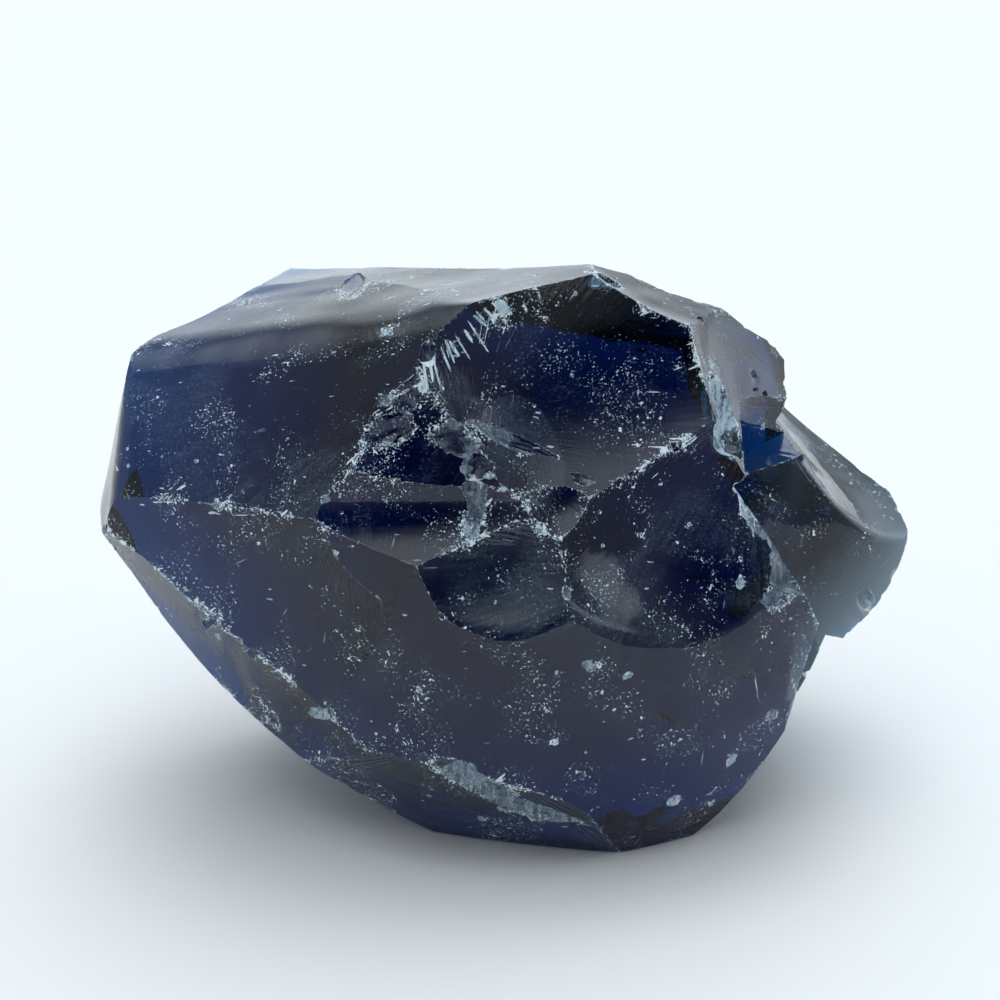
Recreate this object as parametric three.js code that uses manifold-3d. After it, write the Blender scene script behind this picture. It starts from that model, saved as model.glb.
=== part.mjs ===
// Slag glass chunk: one lump of clear blue glass, broken from a larger cake of glass.
//
// Glass has no grain, so every blow leaves one smooth, slightly hollow face: a scar. The lump is made
// the way it was broken. It starts as a plain block that stands on its flat base, and each scar takes
// away everything in front of one gently curved face. Where two scars meet they leave a sharp ridge.
//
// Millimetres, +Z up. X runs along the length of the lump, -Y is the broad front, and the flat base
// lies in z = 0, with the origin on it, under the middle of the lump.

import * as THREE from 'three';
import { mergeVertices } from 'three/addons/utils/BufferGeometryUtils.js';
import Module from 'manifold-3d';

// The block that the lump is broken out of. Every side but the base is broken away.
const BLOCK = { length: 132, depth: 88, height: 84 };

// A cutter reaches this far to each side of its scar's middle, and this far out from its face.
const REACH = 110;
const RISE = 80;

// How far a flat facet may stray from the curved face that it stands for.
const FLATNESS = 0.06;

// One row for each scar, in the order in which they were struck.
//   at       the middle of the scar, in mm
//   facing   where it looks: degrees round from the front (+90 is the right, 180 the back), and
//            degrees above the horizon
//   hollow   the radius of its hollow across and along, in mm: 0 is flat, and less than 0 swells out
//   roll     degrees that the two radii are turned within the face (0 where it isn't given)
//   walls    where the crack stopped at an older one and left a wall: for each side of the scar, how
//            many mm from its middle, and how many mm the wall leans outward for each mm of its height
const SCARS = [
  // the hidden back and the undersides
  { name: 'back',             at: [0, 39, 40],         facing: [180, 3],     hollow: [0, 0] },
  { name: 'back_left',        at: [-38, 27, 44],       facing: [-158, -22],  hollow: [150, 150] },
  { name: 'back_middle',      at: [-6, 37, 50],        facing: [175, 12],    hollow: [150, 150] },
  { name: 'back_low',         at: [10, 37, 28],        facing: [168, -12],   hollow: [150, 100] },
  { name: 'back_right',       at: [41, 27, 43],        facing: [140, 10],    hollow: [120, 120] },
  { name: 'back_under',       at: [0, 29, 12],         facing: [180, -44],   hollow: [150, 0] },
  { name: 'left_back',        at: [-54.5, 6.5, 49.5],  facing: [-96, 15],    hollow: [0, 0] },
  { name: 'left_scoop',       at: [-46, 18, 28],       facing: [-118, -18],  hollow: [60, 50] },
  { name: 'left_under',       at: [-45.5, -4, 24.5],   facing: [-85, -37],   hollow: [-90, -80] },
  { name: 'left_foot',        at: [-24.5, -9, 2],      facing: [-72, -56],   hollow: [0, 0] },
  { name: 'right_low',        at: [42.5, 8, 13],       facing: [105, -40],   hollow: [0, 0] },
  { name: 'right_under',      at: [38, -23, 13],       facing: [76, -31],    hollow: [0, -60],
    walls: { high: [12, 0] } },
  { name: 'wing_under',       at: [52.8, 2.5, 26],     facing: [100, -45],   hollow: [-60, -32],
    walls: { low: [-13, 0] } },

  // the top, from the left end over the crown to the right shoulder
  { name: 'top_back_left',    at: [-40.5, 18, 64.5],   facing: [-116, 42],   hollow: [150, 0] },
  { name: 'top_back',         at: [-17.5, 20, 70.5],   facing: [161, 59],    hollow: [0, 0] },
  { name: 'crown_back',       at: [5, 4, 75],          facing: [168, 69],    hollow: [0, 0] },
  { name: 'crown_back_right', at: [24, 8.5, 67],       facing: [150, 59],    hollow: [0, 120] },
  { name: 'shoulder_back',    at: [47.9, 9.6, 50.5],   facing: [115, 37],    hollow: [0, 80] },
  { name: 'top_left',         at: [-24, -2, 71.5],     facing: [-84, 76],    hollow: [250, 400] },
  { name: 'top_rear',         at: [-34, 8, 70.3],      facing: [-110, 80],   hollow: [0, 0] },
  { name: 'crown_right',      at: [22, -8.5, 73.5],    facing: [86, 66],     hollow: [70, 60] },

  // the broad front faces, and the strips that edge them
  { name: 'front_upper_left', at: [-28, -22, 62],      facing: [-26, 32],    hollow: [400, 400] },
  { name: 'front_lower_left', at: [-29, -27, 38],      facing: [-24, -6],    hollow: [200, 200] },
  { name: 'front_swell',      at: [24, -33, 22],       facing: [22, -9],     hollow: [-60, -75] },
  { name: 'swell_side',       at: [43, -18, 25],       facing: [78, -12],    hollow: [0, 0],
    walls: { right: [7, 0] } },
  { name: 'left_rim',         at: [-54, -8.5, 54],     facing: [-77, 13],    hollow: [0, 0] },
  { name: 'lower_left_strip', at: [-38, -19, 27],      facing: [-42, -25],   hollow: [0, 80] },
  { name: 'foot_bevel',       at: [-2, -29.5, 6.5],    facing: [-16, -36],   hollow: [-120, 0] },

  // the deep scars of the crown, the shoulder and the thin wing at the right end
  { name: 'crown_scar',       at: [10.5, -18, 65.5],   facing: [13, 27],     hollow: [60, 35] },
  { name: 'shoulder',         at: [33, -7.5, 60],      facing: [64, 26],     hollow: [60, 60], roll: 90,
    walls: { left: [-9, 0] } },
  { name: 'wing_scar',        at: [46, -9.5, 38],      facing: [24, 6],      hollow: [-27, -36], roll: 28,
    walls: { left: [-7, 0.25], high: [20, 0] } },
  { name: 'wing_top',         at: [51, -5, 40.5],      facing: [85, 50],     hollow: [36, 0], roll: -60,
    walls: { left: [-12, 0.3] } },
  { name: 'shoulder_window',  at: [35.9, -2, 54.1],    facing: [48, -10],    hollow: [50, 50], roll: 10,
    walls: { left: [-4.8, 1.1], low: [-4, -0.3] } },
  { name: 'round_scar',       at: [21, -26.5, 46],     facing: [23, 23],     hollow: [60, 45] },

  // the small scars in the middle of the front
  { name: 'trough',           at: [-10.5, -30, 51],    facing: [0, 20],      hollow: [60, 9] },
  { name: 'trough_shelf',     at: [-13.6, -34, 43.9],  facing: [-17, 5.5],   hollow: [60, 45], roll: 30 },
  { name: 'trough_lip',       at: [-4.5, -32.7, 46.5], facing: [8, 15],      hollow: [26, 18], roll: 6 },
  { name: 'step_left',        at: [-12, -28, 59.5],    facing: [6, 17],      hollow: [40, 40] },
  { name: 'step_right',       at: [6, -27, 55.5],      facing: [17, 47],     hollow: [30, 30] },
  { name: 'nick',             at: [7.2, -28.5, 53.2],  facing: [16, 26],     hollow: [11, 10] },
];

const wasm = await Module();
wasm.setup();

// A closed three.js geometry as a manifold solid.
function solidOf(geometry) {
  const bare = geometry.clone();
  bare.deleteAttribute('normal');
  bare.deleteAttribute('uv');
  const merged = mergeVertices(bare);
  const mesh = new wasm.Mesh({
    numProp: 3,
    vertProperties: new Float32Array(merged.attributes.position.array),
    triVerts: new Uint32Array(merged.index.array),
  });
  return new wasm.Manifold(mesh);
}

// A manifold solid as a three.js geometry, with one flat normal for each facet.
function geometryOf(solid) {
  const mesh = solid.getMesh();
  const shared = new THREE.BufferGeometry();
  shared.setAttribute('position', new THREE.BufferAttribute(mesh.vertProperties, mesh.numProp));
  shared.setIndex(new THREE.BufferAttribute(mesh.triVerts, 1));
  const faceted = shared.toNonIndexed();
  faceted.computeVertexNormals();
  return faceted;
}

// How far a cutter reaches along one direction of its face: a tight hollow soon rises clear of the lump.
function reachFor(radius) {
  return radius > 0 ? Math.min(REACH, Math.sqrt(2 * radius * RISE)) : REACH;
}

// Where a cutter ends at both sides of its scar's middle, and how far each end leans out as it rises.
function endsOf(radius, lowWall, highWall) {
  const [low, lowLean] = lowWall ?? [-reachFor(radius), 0];
  const [high, highLean] = highWall ?? [reachFor(radius), 0];
  return { low, high, lowLean, highLean, size: high - low, middle: (high + low) / 2 };
}

// The same distance at the far side of the cutter, where its ends have leaned out.
function leanOut(distance, ends) {
  const lean = distance > 0 ? ends.highLean / ends.high : ends.lowLean / -ends.low;
  return distance * (1 + RISE * lean);
}

// How many facets keep a stretch of the face within FLATNESS of its curve.
function facetsFor(radius, size) {
  if (radius === 0) return 1;
  const facet = Math.sqrt(8 * Math.abs(radius) * FLATNESS);
  return Math.ceil(size / facet);
}

// Height of a curved face above its middle, along one direction.
function curve(distance, radius) {
  return radius === 0 ? 0 : (distance * distance) / (2 * radius);
}

// A cutter is a slab that looks along +Z. Its near face is bent to the scar's curve.
function cutterGeometry({ hollow: [across, along], walls = {} }) {
  const x = endsOf(across, walls.left, walls.right);
  const y = endsOf(along, walls.low, walls.high);
  const slab = new THREE.BoxGeometry(
    x.size, y.size, RISE,
    facetsFor(across, x.size), facetsFor(along, y.size), 1,
  );
  slab.translate(x.middle, y.middle, 0);
  const place = slab.attributes.position;
  for (let i = 0; i < place.count; i += 1) {
    if (place.getZ(i) < 0) {
      const height = curve(place.getX(i), across) + curve(place.getY(i), along);
      place.setZ(i, Math.min(height, RISE));
    } else {
      place.setXYZ(i, leanOut(place.getX(i), x), leanOut(place.getY(i), y), RISE + 1);
    }
  }
  return slab;
}

// Turns a cutter so that it looks where its scar faces, and moves it to the scar's middle.
function cutterPlace({ at, facing, roll = 0 }) {
  const round = THREE.MathUtils.degToRad(facing[0]);
  const up = THREE.MathUtils.degToRad(facing[1]);
  const outward = new THREE.Vector3(
    Math.sin(round) * Math.cos(up),
    -Math.cos(round) * Math.cos(up),
    Math.sin(up),
  );
  const across = new THREE.Vector3(Math.cos(round), Math.sin(round), 0);
  const along = new THREE.Vector3().crossVectors(outward, across);
  const rolled = new THREE.Matrix4().makeRotationZ(THREE.MathUtils.degToRad(roll));
  return new THREE.Matrix4().makeBasis(across, along, outward).setPosition(...at).multiply(rolled);
}

// The block with every scar taken out of it.
function chunkSolid() {
  const block = new THREE.BoxGeometry(BLOCK.length, BLOCK.depth, BLOCK.height);
  block.translate(0, 0, BLOCK.height / 2);
  let chunk = solidOf(block);
  for (const scar of SCARS) {
    const cutter = cutterGeometry(scar).applyMatrix4(cutterPlace(scar));
    chunk = chunk.subtract(solidOf(cutter));
  }
  return chunk;
}

const blueGlass = new THREE.MeshStandardMaterial({ color: 0x2c3a57, roughness: 0.08, metalness: 0 });

const glassChunk = new THREE.Mesh(geometryOf(chunkSolid()), blueGlass);
glassChunk.name = 'glass_chunk';

const slagGlassChunk = new THREE.Group();
slagGlassChunk.add(glassChunk);

export default slagGlassChunk;
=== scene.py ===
# %% [markdown]
# # A chunk of slag glass
#
# Slag glass is what is broken out of a glassworks' furnace or melting pot when it is cleaned. This lump is
# about as long as a hand is wide. It is dark, clear blue glass, broken on every side, and it looks black in
# the middle and teal where it is thin.
#
# The looks are built in three steps. The shape comes first, because glass shows nothing but its shape:
# what is seen on it are reflections. Then come the small marks that hitting and rolling about leave along
# the ridges. Last come the glass itself and the light.

# %% Tools and the fixed frame
import math
import random
from collections import namedtuple

import bmesh
import bpy
from mathutils import Matrix, Vector, kdtree, noise
from mathutils.bvhtree import BVHTree


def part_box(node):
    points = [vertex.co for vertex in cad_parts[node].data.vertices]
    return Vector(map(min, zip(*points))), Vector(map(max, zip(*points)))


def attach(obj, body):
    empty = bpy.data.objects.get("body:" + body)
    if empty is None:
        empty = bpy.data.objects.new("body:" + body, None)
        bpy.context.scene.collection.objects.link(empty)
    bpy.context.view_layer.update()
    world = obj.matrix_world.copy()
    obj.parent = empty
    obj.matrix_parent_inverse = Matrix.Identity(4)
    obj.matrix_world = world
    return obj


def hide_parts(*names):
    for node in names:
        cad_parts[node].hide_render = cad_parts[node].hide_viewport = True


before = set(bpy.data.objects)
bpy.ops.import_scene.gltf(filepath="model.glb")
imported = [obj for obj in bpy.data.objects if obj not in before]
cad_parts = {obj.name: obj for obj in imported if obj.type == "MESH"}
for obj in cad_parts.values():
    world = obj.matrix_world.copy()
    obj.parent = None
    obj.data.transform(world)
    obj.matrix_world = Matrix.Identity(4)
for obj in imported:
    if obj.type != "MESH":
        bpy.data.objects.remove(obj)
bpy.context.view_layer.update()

MM = 0.001
NODE = "glass_chunk"
random.seed(7)

lowest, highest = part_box(NODE)
print("the lump's box in mm:", [round((high - low) / MM, 1) for low, high in zip(lowest, highest)])
print("the frame has", len(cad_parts), "node")

# %% [markdown]
# ## How glass breaks
#
# Glass has no grain. A blow sends one smooth crack through it, and the face that is left is called a scar.
# A scar is slightly hollow, like the inside of a shell, and where two scars meet there is a sharp ridge.
#
# A lump like this could be sculpted by hand, or made by displacing a ball with noise. Neither gives clean
# ridges. So it is broken here as the real one was: a block, and one cut for each scar. Each cutter is a
# grid whose face is bent to the scar's curve, and Blender's Boolean modifier takes it out of the block.

# %% The scars of the lump
# name: middle in mm, facing (degrees round from the front, degrees up), hollow radii in mm, roll in degrees
# A radius of 0 is a flat face, and one below 0 is a face that swells outward.
SCARS = {
    # the hidden back and the undersides
    "back": ((0, 39, 40), (180, 3), (0, 0), 0),
    "back_left": ((-38, 27, 44), (-158, -22), (150, 150), 0),
    "back_middle": ((-6, 37, 50), (175, 12), (150, 150), 0),
    "back_low": ((10, 37, 28), (168, -12), (150, 100), 0),
    "back_right": ((41, 27, 43), (140, 10), (120, 120), 0),
    "back_under": ((0, 29, 12), (180, -44), (150, 0), 0),
    "left_back": ((-54.5, 6.5, 49.5), (-96, 15), (0, 0), 0),
    "left_scoop": ((-46, 18, 28), (-118, -18), (60, 50), 0),
    "left_under": ((-45.5, -4, 24.5), (-85, -37), (-90, -80), 0),
    "left_foot": ((-24.5, -9, 2), (-72, -56), (0, 0), 0),
    "right_low": ((42.5, 8, 13), (105, -40), (0, 0), 0),
    "right_under": ((38, -23, 13), (76, -31), (0, -60), 0),
    "wing_under": ((52.8, 2.5, 26), (100, -45), (-60, -32), 0),
    # the top, from the left end over the crown to the right shoulder
    "top_back_left": ((-40.5, 18, 64.5), (-116, 42), (150, 0), 0),
    "top_back": ((-17.5, 20, 70.5), (161, 59), (0, 0), 0),
    "crown_back": ((5, 4, 75), (168, 69), (0, 0), 0),
    "crown_back_right": ((24, 8.5, 67), (150, 59), (0, 120), 0),
    "shoulder_back": ((47.9, 9.6, 50.5), (115, 37), (0, 80), 0),
    "top_left": ((-24, -2, 71.5), (-84, 76), (250, 400), 0),
    "top_rear": ((-34, 8, 70.3), (-110, 80), (0, 0), 0),
    "crown_right": ((22, -8.5, 73.5), (86, 66), (70, 60), 0),
    # the broad front faces, and the strips that edge them
    "front_upper_left": ((-28, -22, 62), (-26, 32), (400, 400), 0),
    "front_lower_left": ((-29, -27, 38), (-24, -6), (200, 200), 0),
    "front_swell": ((24, -33, 22), (22, -9), (-60, -75), 0),
    "swell_side": ((43, -18, 25), (78, -12), (0, 0), 0),
    "left_rim": ((-54, -8.5, 54), (-77, 13), (0, 0), 0),
    "lower_left_strip": ((-38, -19, 27), (-42, -25), (0, 80), 0),
    "foot_bevel": ((-2, -29.5, 6.5), (-16, -36), (-120, 0), 0),
    # the deep scars of the crown, the shoulder and the thin wing at the right end
    "crown_scar": ((10.5, -18, 65.5), (13, 27), (60, 35), 0),
    "shoulder": ((33, -7.5, 60), (64, 26), (60, 60), 90),
    "wing_scar": ((46, -9.5, 38), (24, 6), (-27, -36), 28),
    "wing_top": ((51, -5, 40.5), (85, 50), (36, 0), -60),
    "shoulder_window": ((35.9, -2, 54.1), (48, -10), (50, 50), 10),
    "round_scar": ((21, -26.5, 46), (23, 23), (60, 45), 0),
    # the small scars in the middle of the front
    "trough": ((-10.5, -30, 51), (0, 20), (60, 9), 0),
    "trough_shelf": ((-13.6, -34, 43.9), (-17, 5.5), (60, 45), 30),
    "trough_lip": ((-4.5, -32.7, 46.5), (8, 15), (26, 18), 6),
    "step_left": ((-12, -28, 59.5), (6, 17), (40, 40), 0),
    "step_right": ((6, -27, 55.5), (17, 47), (30, 30), 0),
    "nick": ((7.2, -28.5, 53.2), (16, 26), (11, 10), 0),
}
# A crack that ran into an older one stopped there, and left a wall at that side of its scar.
# name: side: (mm from the scar's middle, mm that the wall leans outward for each mm of its height)
WALLS = {
    "right_under": {"high": (12, 0)},
    "wing_under": {"low": (-13, 0)},
    "swell_side": {"right": (7, 0)},
    "shoulder": {"left": (-9, 0)},
    "wing_scar": {"left": (-7, 0.25), "high": (20, 0)},
    "wing_top": {"left": (-12, 0.3)},
    "shoulder_window": {"left": (-4.8, 1.1), "low": (-4, -0.3)},
}
NAMES = list(SCARS)
print(len(SCARS), "scars")


# %% Where a scar lies
def scar_place(middle, facing, roll):
    """A matrix from a scar's own axes (across, along, outward) in mm to the lump's frame in mm."""
    turn, up = map(math.radians, facing)
    outward = Vector((math.sin(turn) * math.cos(up), -math.cos(turn) * math.cos(up), math.sin(up)))
    across = Vector((math.cos(turn), math.sin(turn), 0))
    along = outward.cross(across)
    place = Matrix((across, along, outward)).transposed().to_4x4()
    place.translation = middle
    return place @ Matrix.Rotation(math.radians(roll), 4, "Z")


def place_of(name):
    middle, facing, _, roll = SCARS[name]
    return scar_place(middle, facing, roll)


print("the crown's scar looks along", place_of("crown_scar").col[2].to_3d())


# %% The curve, swell and ribs of a scar
RISE = 80  # mm from a scar's face to the far side of its cutter
REACH = 100  # mm from a scar's middle to the edge of its cutter
SWELL = 0.8  # mm that a face wanders from its even curve
SWELL_SIZE = 22  # mm across one such wander
RIB_HEIGHT = 0.05  # mm
RIB_STEP = 5.5  # mm from one rib to the next
RIB_CENTRE = 22  # mm from a scar's middle to the point that its ribs run round
TIGHT_RADIUS = 60  # mm: a scar that is more hollow than this wanders less


def curve(distance, radius):
    return distance * distance / (2 * radius) if radius else 0


def face_height(x, y, hollow, seed):
    """Height of a scar's face above its middle, in mm: its curve, a slow swell and faint ribs."""
    height = min(curve(x, hollow[0]) + curve(y, hollow[1]), RISE)
    # each scar reads its own layer of the noise, and its ribs run round a point of its own
    spot = Vector((x / SWELL_SIZE, y / SWELL_SIZE, seed * 7.3))
    calm = min([1.0] + [abs(radius) / TIGHT_RADIUS for radius in hollow if radius])
    height += SWELL * calm * (noise.noise(spot) + 0.28 * noise.noise(spot * 2.7))
    turn = seed * 2.4
    rib_centre = Vector((RIB_CENTRE * math.cos(turn), RIB_CENTRE * math.sin(turn), 0))
    distance = (Vector((x, y, 0)) - rib_centre).length
    shown = max(0, noise.noise(spot * 1.7 + Vector((5, 3, 1))))
    height += RIB_HEIGHT * shown * 2 * math.sin(math.tau * distance / RIB_STEP)
    return height


print("20 mm out, a hollow of 60 mm radius is", round(curve(20, 60), 1), "mm up")


# %% From a bmesh to an object
SLOTS = len(NAMES) + 2  # the block, one for each scar, and the chips


def as_object(bm, name):
    """Turns a bmesh into an object of that name, and frees the bmesh."""
    mesh = bpy.data.meshes.new(name)
    bm.to_mesh(mesh)
    bm.free()
    made = bpy.data.objects.new(name, mesh)
    bpy.context.collection.objects.link(made)
    return made


def with_slots(made):
    """Gives an object empty material slots, so that each face can carry the number of its scar."""
    for _ in range(SLOTS):
        made.data.materials.append(None)
    return made


# %% A cutter for one scar
FINE_STEPS = 140  # squares along each side of a cutter's face
COARSE_STEPS = 90  # the same, for the broad and quiet scars of the back and the underside
QUIET = NAMES[: NAMES.index("top_back_left")]


def reach_for(radius):
    return min(REACH, math.sqrt(2 * radius * RISE)) if radius > 0 else REACH


def crowded(t, share=0.45):
    """Spreads even steps from -1 to 1 so that they crowd in the middle, where the scar is."""
    return share * t + (1 - share) * t**3


def sides(name, axis):
    """Where a cutter ends across (axis 0) or along (axis 1) its face, in mm, and how its two ends lean."""
    reach = reach_for(SCARS[name][2][axis])
    walls = WALLS.get(name, {})
    low, low_lean = walls.get(("left", "low")[axis], (-reach, 0))
    high, high_lean = walls.get(("right", "high")[axis], (reach, 0))
    return low, high, low_lean, high_lean


def stretch(t, name, axis):
    """Takes -1, 0 and 1 to one end of a cutter, its middle and its other end."""
    low, high, _, _ = sides(name, axis)
    return t * (high if t > 0 else -low)


def lean_out(distance, name, axis):
    """The same distance at the far side of the cutter, where its ends have leaned out."""
    low, high, low_lean, high_lean = sides(name, axis)
    lean = high_lean / high if distance > 0 else low_lean / -low
    return distance * (1 + RISE * lean)


def scar_cutter(name):
    hollow, seed = SCARS[name][2], NAMES.index(name)
    bm = bmesh.new()
    steps = COARSE_STEPS if name in QUIET else FINE_STEPS
    bmesh.ops.create_grid(bm, x_segments=steps, y_segments=steps, size=1)
    for vert in bm.verts:
        x = stretch(crowded(vert.co.x), name, 0)
        y = stretch(crowded(vert.co.y), name, 1)
        vert.co = (x, y, face_height(x, y, hollow, seed))
    raised = bmesh.ops.extrude_face_region(bm, geom=bm.faces[:])
    for item in raised["geom"]:
        if isinstance(item, bmesh.types.BMVert):
            item.co = (lean_out(item.co.x, name, 0), lean_out(item.co.y, name, 1), RISE + 2)
    bmesh.ops.recalc_face_normals(bm, faces=bm.faces)
    bmesh.ops.transform(bm, matrix=Matrix.Scale(MM, 4) @ place_of(name), verts=bm.verts)
    for face in bm.faces:
        face.material_index = seed + 1
    return with_slots(as_object(bm, name))


# %% Taking a cutter out of the lump
def cut_away(body, cutter):
    cut = body.modifiers.new("cut", "BOOLEAN")
    cut.operation = "DIFFERENCE"
    cut.solver = "MANIFOLD"
    cut.object = cutter
    bpy.context.view_layer.update()
    finished = body.evaluated_get(bpy.context.evaluated_depsgraph_get())
    old_meshes = body.data, cutter.data
    cut_mesh = bpy.data.meshes.new_from_object(finished)
    body.modifiers.clear()
    body.data = cut_mesh
    bpy.data.objects.remove(cutter)
    for old_mesh in old_meshes:
        bpy.data.meshes.remove(old_mesh)


# %% The block, and every scar out of it
BLOCK = (132, 88, 84)  # mm

bm = bmesh.new()
bmesh.ops.create_cube(bm, size=1)
bmesh.ops.scale(bm, vec=[side * MM for side in BLOCK], verts=bm.verts)
bmesh.ops.translate(bm, vec=(0, 0, BLOCK[2] / 2 * MM), verts=bm.verts)
lump = with_slots(as_object(bm, "lump"))

for name in NAMES:
    cut_away(lump, scar_cutter(name))
print("the lump has", len(lump.data.polygons), "faces")

# %% [markdown]
# ## Worn ridges
#
# Some ridges aren't sharp: the melt had already flowed round there, or years of rubbing have worn them. A
# bevel would leave two new lines. So each point near such a ridge sinks a little instead, and the nearer it
# lies to the other scar's face the deeper it sinks. The two faces then run into each other in one curve.
# At the ridge itself that takes off a quarter of the distance at which the rounding starts.

# %% Rounding the soft ridges
SOFT_RIDGES = {  # two scars that meet: how near the other face, in mm, the rounding starts
    ("front_upper_left", "top_left"): 9,
    ("front_upper_left", "left_rim"): 2,
    ("front_lower_left", "front_swell"): 4,
    ("trough_lip", "front_swell"): 1.5,
    ("front_swell", "round_scar"): 1.2,
    ("trough_shelf", "front_swell"): 1,
    ("wing_scar", "wing_top"): 0.9,
    ("left_back", "left_rim"): 3,
    ("left_back", "top_back_left"): 3,
}
UNEVEN = 1.2  # mm: more than the swell and the ribs of a face come to


def soften(mesh, pair, start):
    """Rounds the ridge where two scars meet. Returns how many points sank."""
    seeds = [NAMES.index(name) for name in pair]
    hollows = [SCARS[name][2] for name in pair]
    places = [place_of(name) for name in pair]
    into_scar = [place.inverted() for place in places]
    inward = -sum((place.col[2].to_3d() for place in places), Vector()).normalized()
    steep = -inward.dot(places[0].col[2].to_3d())
    deepest = start / 4 + UNEVEN
    farthest = 1.25 * start + UNEVEN
    moved = 0
    for vert in mesh.vertices:
        spots = [turn @ (vert.co / MM) for turn in into_scar]
        rough = [curve(s.x, hollow[0]) + curve(s.y, hollow[1]) - s.z for s, hollow in zip(spots, hollows)]
        if not -UNEVEN < min(rough) < deepest or max(rough) > farthest:
            continue
        under = [face_height(s.x, s.y, *scar) - s.z for s, *scar in zip(spots, hollows, seeds)]
        overlap = max(start - abs(under[0] - under[1]), 0)
        above = overlap**2 / (4 * start) - min(under)
        if above > 0 and min(under) > -UNEVEN / 4:
            vert.co += inward * MM * above / steep
            moved += 1
    return moved


for pair, start in SOFT_RIDGES.items():
    print(*pair, soften(lump.data, pair, start), "points rounded")

# %% [markdown]
# ## Knocks and chips
#
# A ridge of glass is brittle. Each knock in a bin or on a floor takes a shell-shaped chip off it, from a
# millimetre to a centimetre across, and the chips crowd where a ridge stands out the most. Each one is cut
# here with a squashed ball, which leaves a shallow dish. The large ones are listed one by one, and the many
# small ones fall at random on the sharp ridges.

# %% A ball that cuts a dish
CHIP = len(NAMES) + 1  # the material number that marks chipped glass
BALL = 4  # half the ball's thickness for each mm of its dish's depth
OVERSIZE = 0.76  # half the ball's width for each mm of its dish's width
UNROUND = 0.16  # how far from round the ball is


def add_ball(bm, middle, facing, width, height, depth, roll, seed):
    """Adds a squashed, uneven ball that cuts a dish of this width, height and depth in mm."""
    fineness = 2 + (width > 1) + (width > 3) + (width > 7)
    made = bmesh.ops.create_icosphere(bm, subdivisions=fineness, radius=1)["verts"]
    thick = BALL * depth
    for vert in made:
        bend = 1 + UNROUND * noise.noise(vert.co * 2.2 + Vector((seed * 3.1, 0, 0)))
        x, y, z = vert.co
        vert.co = Vector((x * width * OVERSIZE, y * height * OVERSIZE, z * thick)) * bend
    lift = Matrix.Translation((0, 0, thick - depth))
    place = Matrix.Scale(MM, 4) @ scar_place(middle, facing, roll) @ lift
    bmesh.ops.transform(bm, matrix=place, verts=made)


# %% Cutting many chips in a few goes
APART = 0.9  # how far apart two balls of one cutter are, for each mm of their widths together


def cut_chips(body, chips, batch_count):
    """Cuts the chips in batches, so that no two balls of one cutter touch. Returns how many it cut."""
    batches = [(bmesh.new(), []) for _ in range(batch_count)]
    for number, chip in enumerate(chips):
        middle, size = Vector(chip[0]), max(chip[2], chip[3])
        for bm, taken in batches:
            if all((middle - spot).length > APART * (size + reach) for spot, reach in taken):
                add_ball(bm, *chip, number)
                taken.append((middle, size))
                break
    for bm, taken in batches:
        for face in bm.faces:
            face.material_index = CHIP
        cut_away(body, with_slots(as_object(bm, "chips")))
    return sum(len(taken) for bm, taken in batches)


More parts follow.
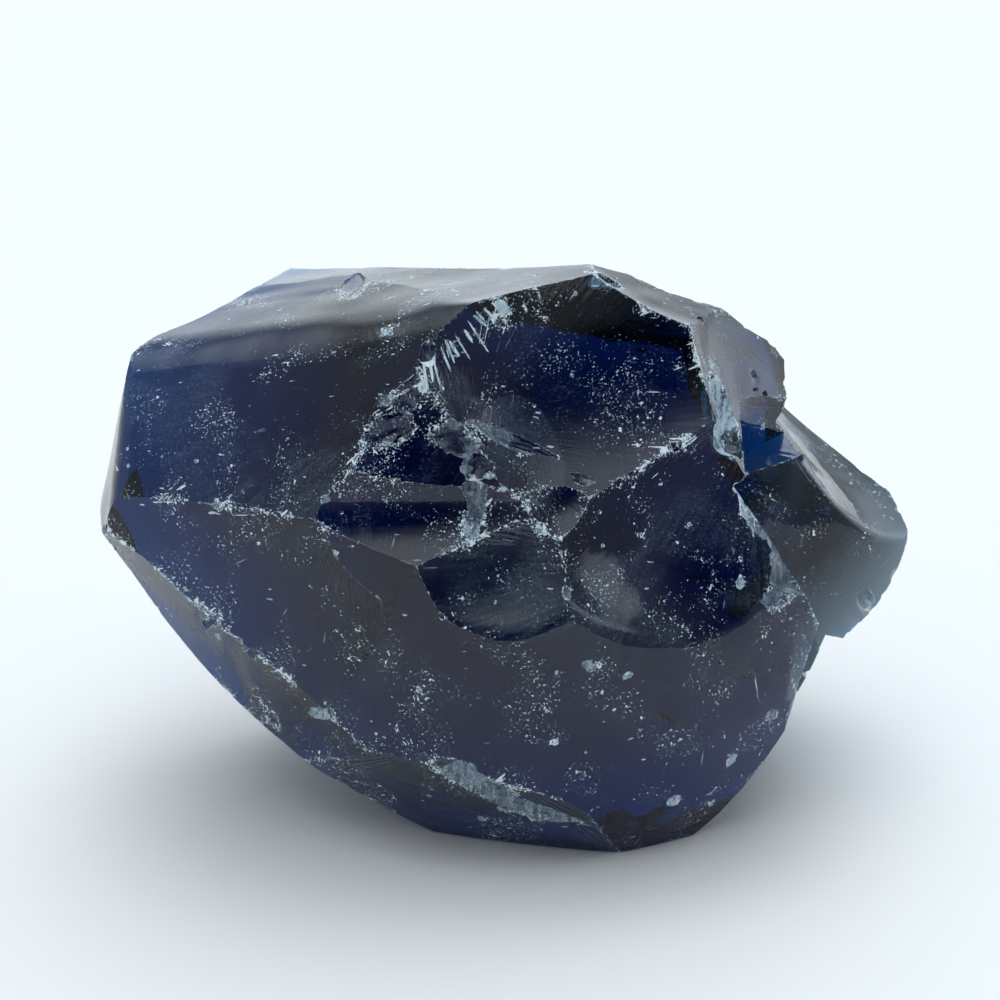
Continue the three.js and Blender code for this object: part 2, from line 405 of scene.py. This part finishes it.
# %% The chips that stand out
# name: middle in mm, facing in degrees, width, height and depth in mm, roll in degrees, and how white
# the crushed glass in it is, from 0 to 1
CHIPS = {
    "shoulder chip": ((29.3, -12.8, 60.4), (48, 12), 5.0, 9.5, 1.3, -10, 1.0),
    "shoulder chip below": ((29.5, -17.5, 56.8), (40, 30), 3.5, 4.0, 0.9, 20, 0.8),
    "round scar, right chip": ((33.4, -21.6, 49.8), (44, 14), 3.6, 7.5, 1.0, 14, 0.9),
    "round scar, far chip": ((36.8, -22.6, 44.4), (50, 10), 2.0, 3.6, 0.6, 8, 0.3),
    "swell, corner chip": ((39.8, -24.6, 39.4), (62, 44), 9.0, 8.5, 2.6, 0, 0.25),
    # The trough flake's white is partly crushed glass and partly a painted highlight, standing in for the
    # bright reflection in the trough.
    "trough flake with painted highlight": ((-3.4, -30.4, 52.2), (-4, 14), 3.6, 7.0, 0.5, 0, 0.22),
    "round scar, lower chip": ((11.5, -37.6, 32.3), (20, 0), 3.2, 2.4, 0.45, 10, 0.5),
    "swell, top chip": ((36.8, -26.6, 37.3), (46, 20), 4.6, 2.4, 0.8, -12, 0.3),
    "swell, far top chip": ((41.5, -17.0, 33.0), (56, 10), 3.8, 2.4, 0.8, -10, 0.3),
    "strip chip": ((-25.3, -26.7, 20.4), (-34, -20), 6.0, 2.6, 0.7, 20, 0.7),
    "strip pit": ((-32.1, -18.9, 16.2), (-42, -30), 3.0, 3.0, 0.8, 0, 0.2),
    "strip slit": ((-39.5, -21.4, 32.0), (-42, -22), 8.0, 1.3, 0.7, 42, 0.0),
    "strip slit, low": ((-34.0, -23.6, 28.0), (-40, -20), 4.0, 1.6, 0.7, 40, 0.1),
    "foot chip": ((-4.0, -34.2, 14.8), (-6, -24), 11.0, 4.0, 0.8, -34, 0.5),
    "foot chip, right": ((3.0, -32.3, 9.4), (-4, -34), 12.0, 3.6, 0.8, -22, 0.45),
    "left end hollow": ((-57.0, -3.0, 55.0), (-80, 10), 6.0, 8.0, 0.7, 0, 0.0),
    "crown chip": ((-9.2, -23.8, 71.0), (-10, 30), 2.4, 4.0, 0.5, 35, 0.04),
    "step chip": ((-12.3, -26.8, 64.6), (-6, 24), 3.2, 2.4, 0.6, 20, 0.05),
    "step flake, left": ((-13.0, -27.8, 61.4), (-14, 34), 7.0, 4.0, 0.9, 24, 0.0),
    "step flake, middle": ((-6.5, -27.8, 60.0), (10, 30), 8.0, 4.0, 0.8, -14, 0.0),
    "step flake, right": ((-2.3, -28.7, 57.6), (-6, 14), 5.0, 3.4, 0.8, 30, 0.0),
    "crown slit": ((5.0, -25.2, 58.4), (10, 44), 13.0, 2.4, 1.1, -20, 0.0),
    "crown slit, low": ((10.5, -26.6, 55.4), (16, 30), 6.0, 2.6, 0.8, -26, 0.0),
    "top flake, left": ((-37.5, 6.0, 69.2), (-100, 78), 10.0, 4.0, 0.5, 8, 0.0),
    "top flake, middle": ((-29.5, 3.0, 70.9), (-96, 80), 6.0, 3.0, 0.4, 0, 0.0),
    "top flake, right": ((-21.0, 2.4, 72.4), (-100, 80), 12.0, 3.0, 0.25, 8, 0.0),
    "wing tip chip": ((59.2, 0.8, 35.4), (60, 30), 2.4, 1.6, 0.3, 0, 0.4),
    "wing low chip": ((52.0, -6.0, 29.0), (60, -10), 4.0, 2.4, 0.5, -30, 0.1),
    "shoulder corner chip": ((40.2, 5.8, 63.2), (86, 40), 7.0, 10.0, 1.1, 0, 0.02),
    "crown point chip": ((14.0, -10.5, 76.6), (30, 40), 4.0, 2.0, 0.4, 0, 0.1),
}

placed = [chip[:6] for chip in CHIPS.values()]
print(cut_chips(lump, placed, 4), "chips placed by hand")

# %% [markdown]
# ## A fan of splinters
#
# One hard knock on the crown's ridge drove a fan of thin splinters off it. They start on the ridge and run
# out over the crown's scar, slanting at the top and upright at the foot. A white line painted there would
# lie flat. So each one is a thin dish too, set down on the glass where a ray from outside meets it.

# %% The fan across the crown's ridge
SPLINTERS = 14
SPLINTER_DEPTH = 0.25  # mm
FAN_TOP = Vector((-1.2, -18.4, 76.4))  # mm
FAN_FOOT = Vector((-10.6, -26.0, 68.6))  # mm
FAN_FACING = (8, 25)  # degrees
FAN_ROLL = (56, -6)  # degrees, at the top and at the foot
OUTSIDE = 12  # mm: how far out the rays start

bm = bmesh.new()
bm.from_mesh(lump.data)
skin = BVHTree.FromBMesh(bm)
bm.free()
splinters = []
for number in range(SPLINTERS):
    down = number / (SPLINTERS - 1)
    length = random.uniform(2.0, 5.0)
    roll = FAN_ROLL[0] + (FAN_ROLL[1] - FAN_ROLL[0]) * down + random.uniform(-9, 9)
    ridge = scar_place(FAN_TOP.lerp(FAN_FOOT, down), FAN_FACING, roll)
    spot = ridge @ Vector((random.uniform(-0.6, 0.6), random.uniform(-0.45, -0.1) * length, OUTSIDE))
    found, normal = skin.ray_cast(spot * MM, -ridge.col[2].to_3d())[:2]
    turn = math.degrees(math.atan2(normal.x, -normal.y))
    up = math.degrees(math.asin(normal.z))
    width = random.uniform(0.25, 0.7)
    splinters.append((found / MM, (turn, up), width, length, SPLINTER_DEPTH, roll))
print(cut_chips(lump, splinters, SPLINTERS), "splinters")


# %% The sharp ridges
SHARP = 14  # degrees
Ridge = namedtuple("Ridge", "middle outward angle pair length")


def sharp_ridges(mesh):
    """The edges between two scars. The angle is in degrees, and below 0 where the edge lies in a groove."""
    bm = bmesh.new()
    bm.from_mesh(mesh)
    bm.normal_update()
    found = []
    for edge in bm.edges:
        if len(edge.link_faces) != 2:
            continue
        one, other = edge.link_faces
        angle = math.degrees(edge.calc_face_angle_signed(0))
        if one.material_index == other.material_index or abs(angle) < SHARP:
            continue
        middle = (edge.verts[0].co + edge.verts[1].co) / 2
        outward = (one.normal + other.normal).normalized()
        pair = tuple(sorted((one.material_index, other.material_index)))
        found.append(Ridge(middle, outward, angle, pair, edge.calc_length()))
    bm.free()
    return found


ridges = sharp_ridges(lump.data)
print(round(sum(ridge.length for ridge in ridges) / MM), "mm of ridge")

# %% Small chips along the ridges
SMALL_CHIPS = 900
FOOT = 4  # mm: no small chips below this
FAN_REACH = 6.5  # mm: nor this near the middle of the fan of splinters
soft = {tuple(sorted(NAMES.index(name) + 1 for name in pair)) for pair in SOFT_RIDGES}
fan_middle = (FAN_TOP + FAN_FOOT) / 2


def can_chip(ridge):
    """Only a sharp ridge that stands out chips, clear of the base and of the fan."""
    spot = ridge.middle / MM
    clear = spot.z > FOOT and (spot - fan_middle).length > FAN_REACH
    return clear and ridge.angle > SHARP and ridge.pair not in soft


def exposure(ridge):
    """How many of the knocks a ridge gets: they come in clusters about 9 mm apart."""
    cluster = max(0.15, noise.noise(ridge.middle / MM / 9) + 0.35)
    return ridge.length * min(ridge.angle, 60) * cluster


exposed = [ridge for ridge in ridges if can_chip(ridge)]
small_chips = []
for ridge in random.choices(exposed, [exposure(ridge) for ridge in exposed], k=SMALL_CHIPS):
    outward = ridge.outward
    width = 0.4 + 2.2 * random.random() ** 5
    turn = math.degrees(math.atan2(outward.x, -outward.y)) + random.uniform(-40, 40)
    up = math.degrees(math.asin(outward.z)) + random.uniform(-25, 25)
    height = width * random.uniform(0.5, 1)
    depth = width * random.uniform(0.1, 0.2)
    roll = random.uniform(0, 180)
    small_chips.append((ridge.middle / MM, (turn, up), width, height, depth, roll))
print(cut_chips(lump, small_chips, 6), "small chips;", len(lump.data.polygons), "faces")

# %% Bruises in the middle of the faces, where a corner of another lump struck
BRUISES = 90
BRUISE_FOOT = 5 * MM
faces = [face for face in lump.data.polygons if face.center.z > BRUISE_FOOT and face.material_index < CHIP]
bruises = []
for face in random.choices(faces, [face.area for face in faces], k=BRUISES):
    turn = math.degrees(math.atan2(face.normal.x, -face.normal.y)) + random.uniform(-12, 12)
    up = math.degrees(math.asin(face.normal.z)) + random.uniform(-12, 12)
    width = 0.6 + 1.8 * random.random() ** 3
    height = width * random.uniform(0.4, 0.9)
    bruises.append((face.center / MM, (turn, up), width, height, 0.14 * width, random.uniform(0, 180)))
print(cut_chips(lump, bruises, 2), "bruises;", len(lump.data.polygons), "faces")

# %% [markdown]
# ## What the material needs to know about the shape
#
# Glass is crushed white along its ridges, and the tiny cracks there run out from the point that was hit, like
# the rays of a fan. A material can't see where a ridge is, so the mesh tells it. Each point is given its
# distance to the nearest ridge, and how hard that ridge has been worn. Each face also carries round
# coordinates: the angle and the distance from the point where the blow fell.

# %% How hard each ridge is worn
RIDGE_WEAR = {
    ("front_upper_left", "crown_scar"): 1.5,
    ("top_left", "crown_scar"): 1.2,
    ("step_left", "crown_scar"): 0.5,
    ("step_left", "front_upper_left"): 0.5,
    ("crown_scar", "shoulder"): 0.9,
    ("crown_scar", "round_scar"): 1.0,
    ("shoulder", "round_scar"): 1.2,
    ("shoulder_window", "round_scar"): 0.8,
    ("wing_scar", "round_scar"): 1.0,
    ("front_swell", "round_scar"): 0.3,
    ("front_swell", "wing_scar"): 0.5,
    ("trough", "trough_lip"): 0.5,
    ("trough", "front_upper_left"): 0.3,
    ("step_left", "step_right"): 0.4,
    ("front_upper_left", "front_lower_left"): 0.6,
    ("foot_bevel", "front_swell"): 0.9,
    ("lower_left_strip", "front_lower_left"): 0.5,
}
ORDINARY_WEAR = 0.22
CHIP_WEAR = 0.4


def wear_of(pair):
    if CHIP in pair:
        return CHIP_WEAR
    names = [NAMES[number - 1] if number else "" for number in pair]
    return RIDGE_WEAR.get(tuple(names), RIDGE_WEAR.get(tuple(reversed(names)), ORDINARY_WEAR))


print(len(RIDGE_WEAR), "ridges are worn in their own way")

# %% Where each blow fell, in mm in the scar's own axes
BLOWS = {
    "crown_scar": (-16, -6),
    "front_upper_left": (34, 20),
    "round_scar": (18, 18),
    "front_swell": (4, 30),
    "front_lower_left": (10, 14),
    "wing_scar": (-10, 22),
    "shoulder": (-12, 8),
    "foot_bevel": (0, 20),
}
BLOW_AWAY = 24  # mm from the middle of any other scar


def blow_point(name):
    """Where the blow fell. If it isn't given, it lies in a direction that differs from scar to scar."""
    turn = 26 * NAMES.index(name)
    return BLOWS.get(name, (BLOW_AWAY * math.cos(turn), BLOW_AWAY * math.sin(turn)))


# %% Which scars are dull, and which are cleaner than most (below 0)
BASE_DULL = 0.3
DULL = {name: 0.8 for name in QUIET}
DULL.update({"shoulder_back": 0.8, "top_back_left": 0.5, "top_back": 0.5, "crown_back": 0.5})
DULL.update({"crown_back_right": 0.6, "foot_bevel": 0.2, "left_rim": 0.3})
DULL.update({"crown_scar": -0.9, "trough": -0.8, "trough_shelf": -0.5, "step_left": -0.5, "shoulder": -0.5})
DULL.update({"front_upper_left": -0.3, "front_swell": -0.3, "front_lower_left": -0.3, "round_scar": -0.2})


def dull_of(number):
    """How dull a face is, from the number of its scar: the base is 0, and a chip is neither."""
    if number == 0:
        return BASE_DULL
    return DULL.get(NAMES[number - 1], 0) if number < CHIP else 0


print(sum(value < 0 for value in DULL.values()), "scars are clean")


# %% Finding the nearest ridge and the nearest chip
def tree_of(spots):
    """A tree that finds the nearest of these spots."""
    tree = kdtree.KDTree(len(spots))
    for number, spot in enumerate(spots):
        tree.insert(spot, number)
    tree.balance()
    return tree


SPLINTER_WHITE = 1.8  # more than 1, so that they stay white where the crushed glass is streaky
ridges = sharp_ridges(lump.data)
ridge_tree = tree_of([ridge.middle for ridge in ridges])

chips = [(Vector(chip[0]), max(chip[2:4]), chip[6]) for chip in CHIPS.values()]
chips += [(chip[0], chip[3], SPLINTER_WHITE) for chip in splinters]
chips += [(chip[0], chip[2], random.random() ** 3) for chip in small_chips]
chips += [(chip[0], chip[2], random.uniform(0.5, 1)) for chip in bruises]
chip_tree = tree_of([middle for middle, size, white in chips])
print(len(ridges), "edges on the ridges, and", len(chips), "chips")


def crushed_at(spot):
    """How white the chip round this spot in mm is: of the eight nearest, the one that it lies deepest in."""
    near = [(distance / chips[number][1], number) for found, number, distance in chip_tree.find_n(spot, 8)]
    return chips[min(near)[1]][2]


# %% What each point carries
WING_START = 40  # mm along the length
WORN_ANGLE = 35  # degrees: a ridge at least this sharp is fully worn
GROOVE_WEAR = 0.5  # how much of its wear an edge in a groove keeps


def frost_and_sheen_at(spot):
    """How much frost and painted sheen the wing has at this spot in mm: more toward its tip and toward its
    lower edge, which catch grazing reflections.
    """
    # from 0 at 46 mm along and 38 mm up, to 1 either 24 mm farther along or 14 mm lower
    toward_tip = (spot.x - 46) / 24 + (38 - spot.z) / 14
    return min(1, max(0, toward_tip)) if spot.x > WING_START else 0


mesh = lump.data
ridge_distance = mesh.attributes.new("ridge_distance", "FLOAT", "POINT")
ridge_wear = mesh.attributes.new("ridge_wear", "FLOAT", "POINT")
frost_and_sheen = mesh.attributes.new("frost_and_sheen", "FLOAT", "POINT")
for vert in mesh.vertices:
    found, number, distance = ridge_tree.find(vert.co)
    ridge = ridges[number]
    wear = wear_of(ridge.pair) * min(1, abs(ridge.angle) / WORN_ANGLE)
    ridge_distance.data[vert.index].value = distance / MM
    ridge_wear.data[vert.index].value = wear * (1 if ridge.angle > 0 else GROOVE_WEAR)
    frost_and_sheen.data[vert.index].value = frost_and_sheen_at(vert.co / MM)
print("ridge distances up to", round(max(d.value for d in ridge_distance.data), 1), "mm")

# %% What each face and each of its corners carry
PER_RADIAN = 9  # mm that count as one radian, on the base and in the chips, which have no blow of their own
to_scar = [(place_of(name).inverted(), blow_point(name)) for name in NAMES]


def round_coordinates(spot, number):
    """The angle and the distance in mm from the blow to a spot, and the scar's number."""
    if not 0 < number < CHIP:
        return spot.x / PER_RADIAN, spot.y, spot.z
    turn, blow = to_scar[number - 1]
    local = turn @ spot
    x, y = local.x - blow[0], local.y - blow[1]
    # the angle is 0 toward the scar's middle, so that it jumps only behind the blow
    angle = math.atan2(x * blow[1] - y * blow[0], -x * blow[0] - y * blow[1])
    return angle, math.hypot(x, y), number


fan = mesh.attributes.new("fan", "FLOAT_VECTOR", "CORNER")
chipped = mesh.attributes.new("chipped", "FLOAT", "FACE")
dull = mesh.attributes.new("dull", "FLOAT", "FACE")
for face in mesh.polygons:
    number = face.material_index
    chipped.data[face.index].value = crushed_at(face.center / MM) if number == CHIP else 0
    dull.data[face.index].value = dull_of(number)
    for corner in face.loop_indices:
        spot = mesh.vertices[mesh.loops[corner].vertex_index].co / MM
        fan.data[corner].vector = round_coordinates(spot, number)
print(sum(face.material_index == CHIP for face in mesh.polygons), "faces lie in chips")

# %% One material, sharp ridges and smooth scars
CREASE = 24  # degrees: faces that meet more sharply than this are shaded as an edge
mesh.materials.clear()
for face in mesh.polygons:
    face.material_index = 0
    face.use_smooth = True
mesh.set_sharp_from_angle(angle=math.radians(CREASE))
even = lump.modifiers.new("even normals", "WEIGHTED_NORMAL")
even.keep_sharp = True
even.weight = 60
print("one material on", len(mesh.polygons), "faces")

# %% [markdown]
# ## Blue glass
#
# The colour of the glass isn't on its surface. The melt holds a little cobalt and iron, which swallow red
# light first, then green, and blue last. So a thin edge is teal, a finger's width is deep blue, and the
# middle is nearly black. Blender does the same with plain transmission and a Volume Absorption node.

# %% Small helpers for the nodes
glass = bpy.data.materials.new("blue glass")
glass.use_nodes = True
glass.node_tree.nodes.clear()


def node(kind, inputs=None, tree=glass.node_tree, **settings):
    """Adds a node. An input may be a number, a colour or another node's socket."""
    made = tree.nodes.new(kind)
    for key, value in settings.items():
        setattr(made, key, value)
    for key, value in (inputs or {}).items():
        if isinstance(value, bpy.types.NodeSocket):
            tree.links.new(value, made.inputs[key])
        else:
            made.inputs[key].default_value = value
    return made


def calc(operation, *values, tree=glass.node_tree):
    return node("ShaderNodeMath", dict(enumerate(values)), tree, operation=operation).outputs[0]


def ramp(value, low, high, to_low=0.0, to_high=1.0):
    """Goes smoothly from to_low to to_high while the value goes from low to high."""
    settings = {"Value": value, "From Min": low, "From Max": high, "To Min": to_low, "To Max": to_high}
    return node("ShaderNodeMapRange", settings, interpolation_type="SMOOTHSTEP").outputs[0]


def attribute(name, output="Fac"):
    return node("ShaderNodeAttribute", attribute_name=name).outputs[output]


def clouds(vector, scale, detail=2.0, roughness=0.5):
    settings = {"Vector": vector, "Scale": scale, "Detail": detail, "Roughness": roughness}
    return node("ShaderNodeTexNoise", settings).outputs["Fac"]


def stretched(vector, scale, turn=(0, 0, 0), move=(0, 0, 0)):
    settings = {"Vector": vector, "Scale": scale, "Rotation": turn, "Location": move}
    return node("ShaderNodeMapping", settings).outputs["Vector"]


# %% [markdown]
# ## White marks on the glass
#
# Crushed glass is white, because each crumb throws the light back. On the real lump it lies along the worn
# ridges, in strokes that run out like rays, and in flecks and scratches where other lumps have struck. Dust
# lies on the faces that look up. All of it could be a picture wrapped round the lump, but that would blur
# close up. Here noise makes the marks, and what the mesh carries says where they are thick. Each ramp cuts
# the noise: below its first number there is no mark, and above its second the mark is full. The answer,
# from 0 to 1, later turns the glass from clear to white.

# %% What the marks are measured from
in_mm = stretched(node("ShaderNodeTexCoord").outputs["Object"], (1 / MM, 1 / MM, 1 / MM))
distance = attribute("ridge_distance")
fan_rays = attribute("fan", "Vector")
patches = clouds(in_mm, 0.13, 2)
grain = clouds(in_mm, 1.1, 4, 0.7)
fine = clouds(in_mm, 3.2, 3, 0.7)
rays = clouds(stretched(fan_rays, (36, 0.12, 1)), 1, 2, 0.6)
worn = calc("MULTIPLY", attribute("ridge_wear"), ramp(patches, 0.36, 0.6))
struck = ramp(patches, 0.38, 0.64, -0.05, 0.06)
print("patterns for the marks:", len(glass.node_tree.nodes), "nodes so far")

# %% Crushed glass along the ridges
near_ridge = ramp(distance, 0.05, 1.0, 1.0, 0.0)
crumbs = calc("MULTIPLY", near_ridge, worn)
long_rays = calc("MULTIPLY", ramp(rays, 0.60, 0.68, 0.0, 6.0), calc("POWER", worn, 2.0))
rim = calc("MULTIPLY", ramp(fine, 0.45, 0.65, 0.0, 0.3), calc("ADD", worn, 0.2))
edge = calc("SUBTRACT", calc("ADD", long_rays, rim), distance)
strokes = calc("MULTIPLY", ramp(edge, -0.08, 0.15), ramp(fine, 0.36, 0.5, 0.3, 1.0))
print("strokes along the ridges:", len(glass.node_tree.nodes), "nodes so far")

# %% Flecks, scratches and the chips' crushed glass
fleck_level = calc("ADD", calc("ADD", grain, struck), calc("MULTIPLY", crumbs, 0.16))
tiny_level = calc("ADD", calc("ADD", fine, struck), calc("MULTIPLY", crumbs, 0.20))
flecks = calc("MAXIMUM", ramp(fleck_level, 0.68, 0.71), ramp(tiny_level, 0.665, 0.71, 0.0, 0.9))
scratch_one = clouds(stretched(in_mm, (0.16, 1.3, 1.3), (0.4, 0.2, 0.9)), 1, 1)
scratch_two = clouds(stretched(in_mm, (0.16, 1.3, 1.3), (1.3, 1.1, 2.2)), 1, 1)
scratches = ramp(calc("MAXIMUM", scratch_one, scratch_two), 0.76, 0.80, 0.0, 0.7)
ray_scratches = ramp(rays, 0.70, 0.80, 0.0, 0.6)
streaks = clouds(stretched(in_mm, (1.4, 1.4, 0.25)), 1, 2)
chip_white = calc("MULTIPLY", attribute("chipped"), ramp(streaks, 0.35, 0.62, 0.45, 1.0))
chip_white = calc("MINIMUM", calc("MULTIPLY", chip_white, ramp(fine, 0.35, 0.6, 0.5, 1.0)), 1.0)

marks = calc("MAXIMUM", calc("MAXIMUM", flecks, strokes), calc("MAXIMUM", scratches, ray_scratches))
white = calc("MAXIMUM", marks, chip_white)
print("flecks, scratches and chips:", len(glass.node_tree.nodes), "nodes so far")

# %% Dust, dull faces, and frost and painted sheen on the wing
DUST_VEIL = 0.10  # how white the thickest dust makes the glass
DULL_VEIL = 0.05
# The wing's frost is partly a painted sheen: it whitens the tip and the lower edge, which catch grazing
# reflections.
FROST_AND_SHEEN_VEIL = 0.20
dust_spread = ramp(clouds(in_mm, 0.07, 2, 0.6), 0.38, 0.62, 0.05, 1.0)
dust_grain = ramp(calc("ADD", fine, calc("MULTIPLY", rays, 0.4)), 0.58, 0.92, 0.2, 1.0)
outward = node("ShaderNodeNewGeometry").outputs["True Normal"]
faces_up = node("ShaderNodeSeparateXYZ", {0: outward}).outputs["Z"]
dust = calc("MULTIPLY", calc("MULTIPLY", dust_spread, dust_grain), ramp(faces_up, -0.3, 0.5, 0.2, 1.0))
dust = calc("MULTIPLY", dust, ramp(faces_up, 0.7, 0.97, 1.0, 0.4))
dulled = attribute("dull")
frost_and_sheen_mask = attribute("frost_and_sheen")
veil = calc("ADD", calc("MULTIPLY", dust, DUST_VEIL), calc("MULTIPLY", dulled, DULL_VEIL))
# painted sheen on the wing: its frost whitens the tip and the lower edge, where grazing reflections fall
veil = calc("ADD", veil, calc("MULTIPLY", frost_and_sheen_mask, FROST_AND_SHEEN_VEIL))
solid = calc("MAXIMUM", white, calc("ADD", veil, 0.001))
print("dust and frosting:", len(glass.node_tree.nodes), "nodes so far")

# %% Fine relief: the tiny steps that run out from the blow, steepest near a ridge
HACKLE_HEIGHT = 0.045  # mm
RIPPLE_HEIGHT = 0.02  # mm
hackle = clouds(stretched(fan_rays, (40, 0.12, 1)), 1, 1)
near = ramp(distance, 0.0, 5.0, 1.0, 0.1)
bumps = calc("MULTIPLY", hackle, calc("MULTIPLY", near, HACKLE_HEIGHT))
bumps = calc("ADD", bumps, calc("MULTIPLY", clouds(in_mm, 0.4, 1), RIPPLE_HEIGHT))
relief = node("ShaderNodeBump", {"Height": bumps, "Strength": 1.0, "Distance": MM})
print("steps up to", HACKLE_HEIGHT, "mm high")

# %% The glass
CLEAR = (0.58, 0.82, 1.0, 1)
CRUSHED = (0.80, 0.91, 0.96, 1)
LET_THROUGH = (0.0, 0.575, 0.74, 1)  # red is swallowed first, and blue last
DENSITY = 220  # per metre
tint = {"Factor": solid, 6: CLEAR, 7: CRUSHED}  # 6 and 7 are the sockets for the two colours
gloss = calc("ADD", calc("MULTIPLY", calc("MAXIMUM", dulled, frost_and_sheen_mask), 0.35), 0.03)
shader = node(
    "ShaderNodeBsdfPrincipled",
    {
        "Base Color": node("ShaderNodeMix", tint, data_type="RGBA").outputs[2],
        "Roughness": calc("MAXIMUM", gloss, calc("MULTIPLY", white, 0.6)),
        "Transmission Weight": calc("SUBTRACT", 1.0, solid),
        "Normal": relief.outputs[0],
    },
)
shader.inputs["IOR"].default_value = 1.5

depth = node("ShaderNodeVolumeAbsorption")
depth.inputs["Color"].default_value = LET_THROUGH
depth.inputs["Density"].default_value = DENSITY

node("ShaderNodeOutputMaterial", {"Surface": shader.outputs[0], "Volume": depth.outputs[0]})
mesh.materials.append(glass)
print("glass with", len(glass.node_tree.nodes), "nodes")

# %% [markdown]
# ## Light, floor and camera
#
# A dark, shiny lump shows its surroundings more than itself. So the light is what a photographer would use:
# a pale floor, a wide soft light above and behind, and a dimmer room on the camera's side. Lamps would show
# in the glass as hard-edged patches. So all of the light is in the World's shader, as soft areas of the sky
# whose edges fade.

# %% The piece rides on the fixed frame
lump.name = "slag_glass"
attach(lump, "root")
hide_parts(NODE)
print(lump.name, "rides on the frame's root and replaces", NODE)

# %% The floor
FLOOR_SIZE = 6  # metres to each side
bm = bmesh.new()
bmesh.ops.create_grid(bm, x_segments=1, y_segments=1, size=FLOOR_SIZE)
floor = as_object(bm, "floor")
floor.location.z = -0.1 * MM  # a hair below the base, so that the two don't share one plane
paper = bpy.data.materials.new("paper")
paper.use_nodes = True
paper_shader = paper.node_tree.nodes["Principled BSDF"]
paper_shader.inputs["Base Color"].default_value = (0.92, 0.90, 0.88, 1)
paper_shader.inputs["Roughness"].default_value = 0.9
floor.data.materials.append(paper)
print("a floor", 2 * FLOOR_SIZE, "m wide")

# %% The room: pale, brighter behind, and dim toward the camera
world = bpy.data.worlds.new("room")
bpy.context.scene.world = world
world.use_nodes = True
room = world.node_tree


def aim(turn, up):
    """A direction seen from the lump: degrees round from the camera's side, and degrees up."""
    turn, up = math.radians(turn), math.radians(up)
    return Vector((math.sin(turn) * math.cos(up), -math.cos(turn) * math.cos(up), math.sin(up)))


ROOM_LIGHT = 0.38
DARKEST = 0.02
SKY = (0.84, 0.93, 1.0, 1)
SOFT_AREAS = (  # direction in degrees, how wide in degrees, light added in the middle
    ((24, 38), 30, -0.36),
    ((0, 18), 28, -0.34),
    ((0, 85), 38, 1.3),
    ((180, 14), 28, 1.1),
    ((-60, 48), 50, 0.15),
    ((-100, 12), 40, 0.35),
    ((122, 8), 34, 1.5),
    ((72, 24), 7, 1.4),
    ((72, 33), 7, 1.4),
    ((180, 60), 34, 2.8),
    ((-11, 70), 40, 0.25),
)
direction = node("ShaderNodeTexCoord", tree=room).outputs["Generated"]
light = ROOM_LIGHT
for (turn, up), wide, added in SOFT_AREAS:
    toward = {0: direction, 1: aim(turn, up)}
    dot = node("ShaderNodeVectorMath", toward, room, operation="DOT_PRODUCT").outputs["Value"]
    rim_at = math.cos(math.radians(wide))
    fade = {"Value": dot, "From Min": rim_at, "From Max": 1, "To Min": 0, "To Max": added}
    area = node("ShaderNodeMapRange", fade, room, interpolation_type="SMOOTHSTEP").outputs[0]
    light = calc("ADD", area, light, tree=room)
strength = calc("MAXIMUM", light, DARKEST, tree=room)
room.links.new(strength, room.nodes["Background"].inputs["Strength"])
room.nodes["Background"].inputs["Color"].default_value = SKY
print(len(SOFT_AREAS), "soft areas in the sky")

# %% The camera
HEART = Vector((0, 2.5, 41)) * MM
DISTANCE = 340 * MM
LOOK_DOWN = math.radians(20)

lens = bpy.data.cameras.new("camera")
lens.sensor_width = 36
lens.lens = 84
lens.clip_start = 0.01
camera = bpy.data.objects.new("camera", lens)
camera.location = HEART + DISTANCE * Vector((0, -math.cos(LOOK_DOWN), math.sin(LOOK_DOWN)))
camera.rotation_euler = (math.radians(90) - LOOK_DOWN, 0, 0)
bpy.context.collection.objects.link(camera)
bpy.context.scene.camera = camera
bpy.context.scene.view_settings.view_transform = "Standard"
print("the camera looks down", round(math.degrees(LOOK_DOWN)), "degrees from", DISTANCE, "m")
